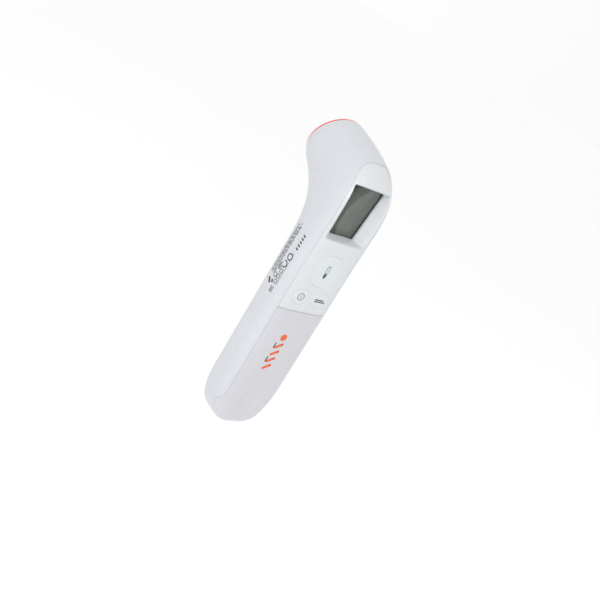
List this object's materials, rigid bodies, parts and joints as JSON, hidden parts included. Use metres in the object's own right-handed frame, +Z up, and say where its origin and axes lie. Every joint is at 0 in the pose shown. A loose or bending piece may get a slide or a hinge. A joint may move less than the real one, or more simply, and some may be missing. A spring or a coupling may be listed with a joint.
{
  "type": "infrared thermometer",
  "caption": "Hand-held infrared forehead thermometer with an angled probe, recessed display, push keys and a sliding battery cover.",
  "frame": {"origin": "under the middle of the overall box, level with the handle's lower end", "axes": "+Z up along the handle, +X to the user's right, -Y is the display side, the probe points to +Y and up"},
  "size_m": [0.0364, 0.0485, 0.1548],
  "materials": {
    "gloss_white": "polished white moulding",
    "panel_white": "polished white moulding, slightly greyer",
    "key_white": "polished soft white",
    "rim_red": "coloured moulding",
    "cone_metal": "polished reflector",
    "dark_plastic": "fine matt moulding",
    "steel": "nickel plated",
    "screw_steel": "zinc plated",
    "window_dark": "coated silicon window",
    "gold_pin": "plated",
    "board_green": "solder-resist lacquer",
    "ribbon_amber": "polyimide film",
    "lens_clear": "clear polished",
    "lcd_green": "reflective display glass",
    "frame_white": "white reflective moulding",
    "guide_plastic": "frosted clear plastic",
    "elastomer": "soft elastomer",
    "chip_black": "moulded resin",
    "component_tan": "sintered",
    "tray_grey": "fine matt moulding",
    "cell_jacket": "printed foil jacket over steel"
  },
  "bodies": {
    "housing": {"main_shell": "gloss_white", "front_panel": "panel_white", "probe_rim": "rim_red", "probe_cone": "cone_metal", "sensor_holder": "dark_plastic", "thermopile_can": "steel", "infrared_window": "window_dark", "sensor_pins": "gold_pin", "sensor_board": "board_green", "sensor_ribbon": "ribbon_amber", "display_lens": "lens_clear", "display_glass": "lcd_green", "display_frame": "frame_white", "light_guide": "guide_plastic", "contact_strip": "elastomer", "main_board": "board_green", "controller_chip": "chip_black", "board_components": "component_tan", "key_switches": "steel", "buzzer": "chip_black", "battery_tray": "tray_grey", "battery_left": "cell_jacket", "battery_right": "cell_jacket", "contact_springs": "steel", "lower_contact": "steel", "upper_contacts": "steel", "board_screws": "screw_steel", "case_screws": "screw_steel"},
    "battery_cover": {"battery_cover": "gloss_white"},
    "scan_key": {"scan_key": "key_white"},
    "power_key": {"power_key": "key_white"},
    "memory_key": {"memory_key": "key_white"}
  },
  "joints": [
    {"name": "cover_slide", "type": "slide", "parent": "housing", "child": "battery_cover", "axis": [0, 0, -1], "range_m": [0, 0.075]},
    {"name": "scan_press", "type": "slide", "parent": "housing", "child": "scan_key", "axis": [0, 1, 0], "range_m": [0, 0.0004], "stiffness_N_per_m": 4000},
    {"name": "power_press", "type": "slide", "parent": "housing", "child": "power_key", "axis": [0, 1, 0], "range_m": [0, 0.0004], "stiffness_N_per_m": 4000},
    {"name": "memory_press", "type": "slide", "parent": "housing", "child": "memory_key", "axis": [0, 1, 0], "range_m": [0, 0.0004], "stiffness_N_per_m": 4000}
  ]
}
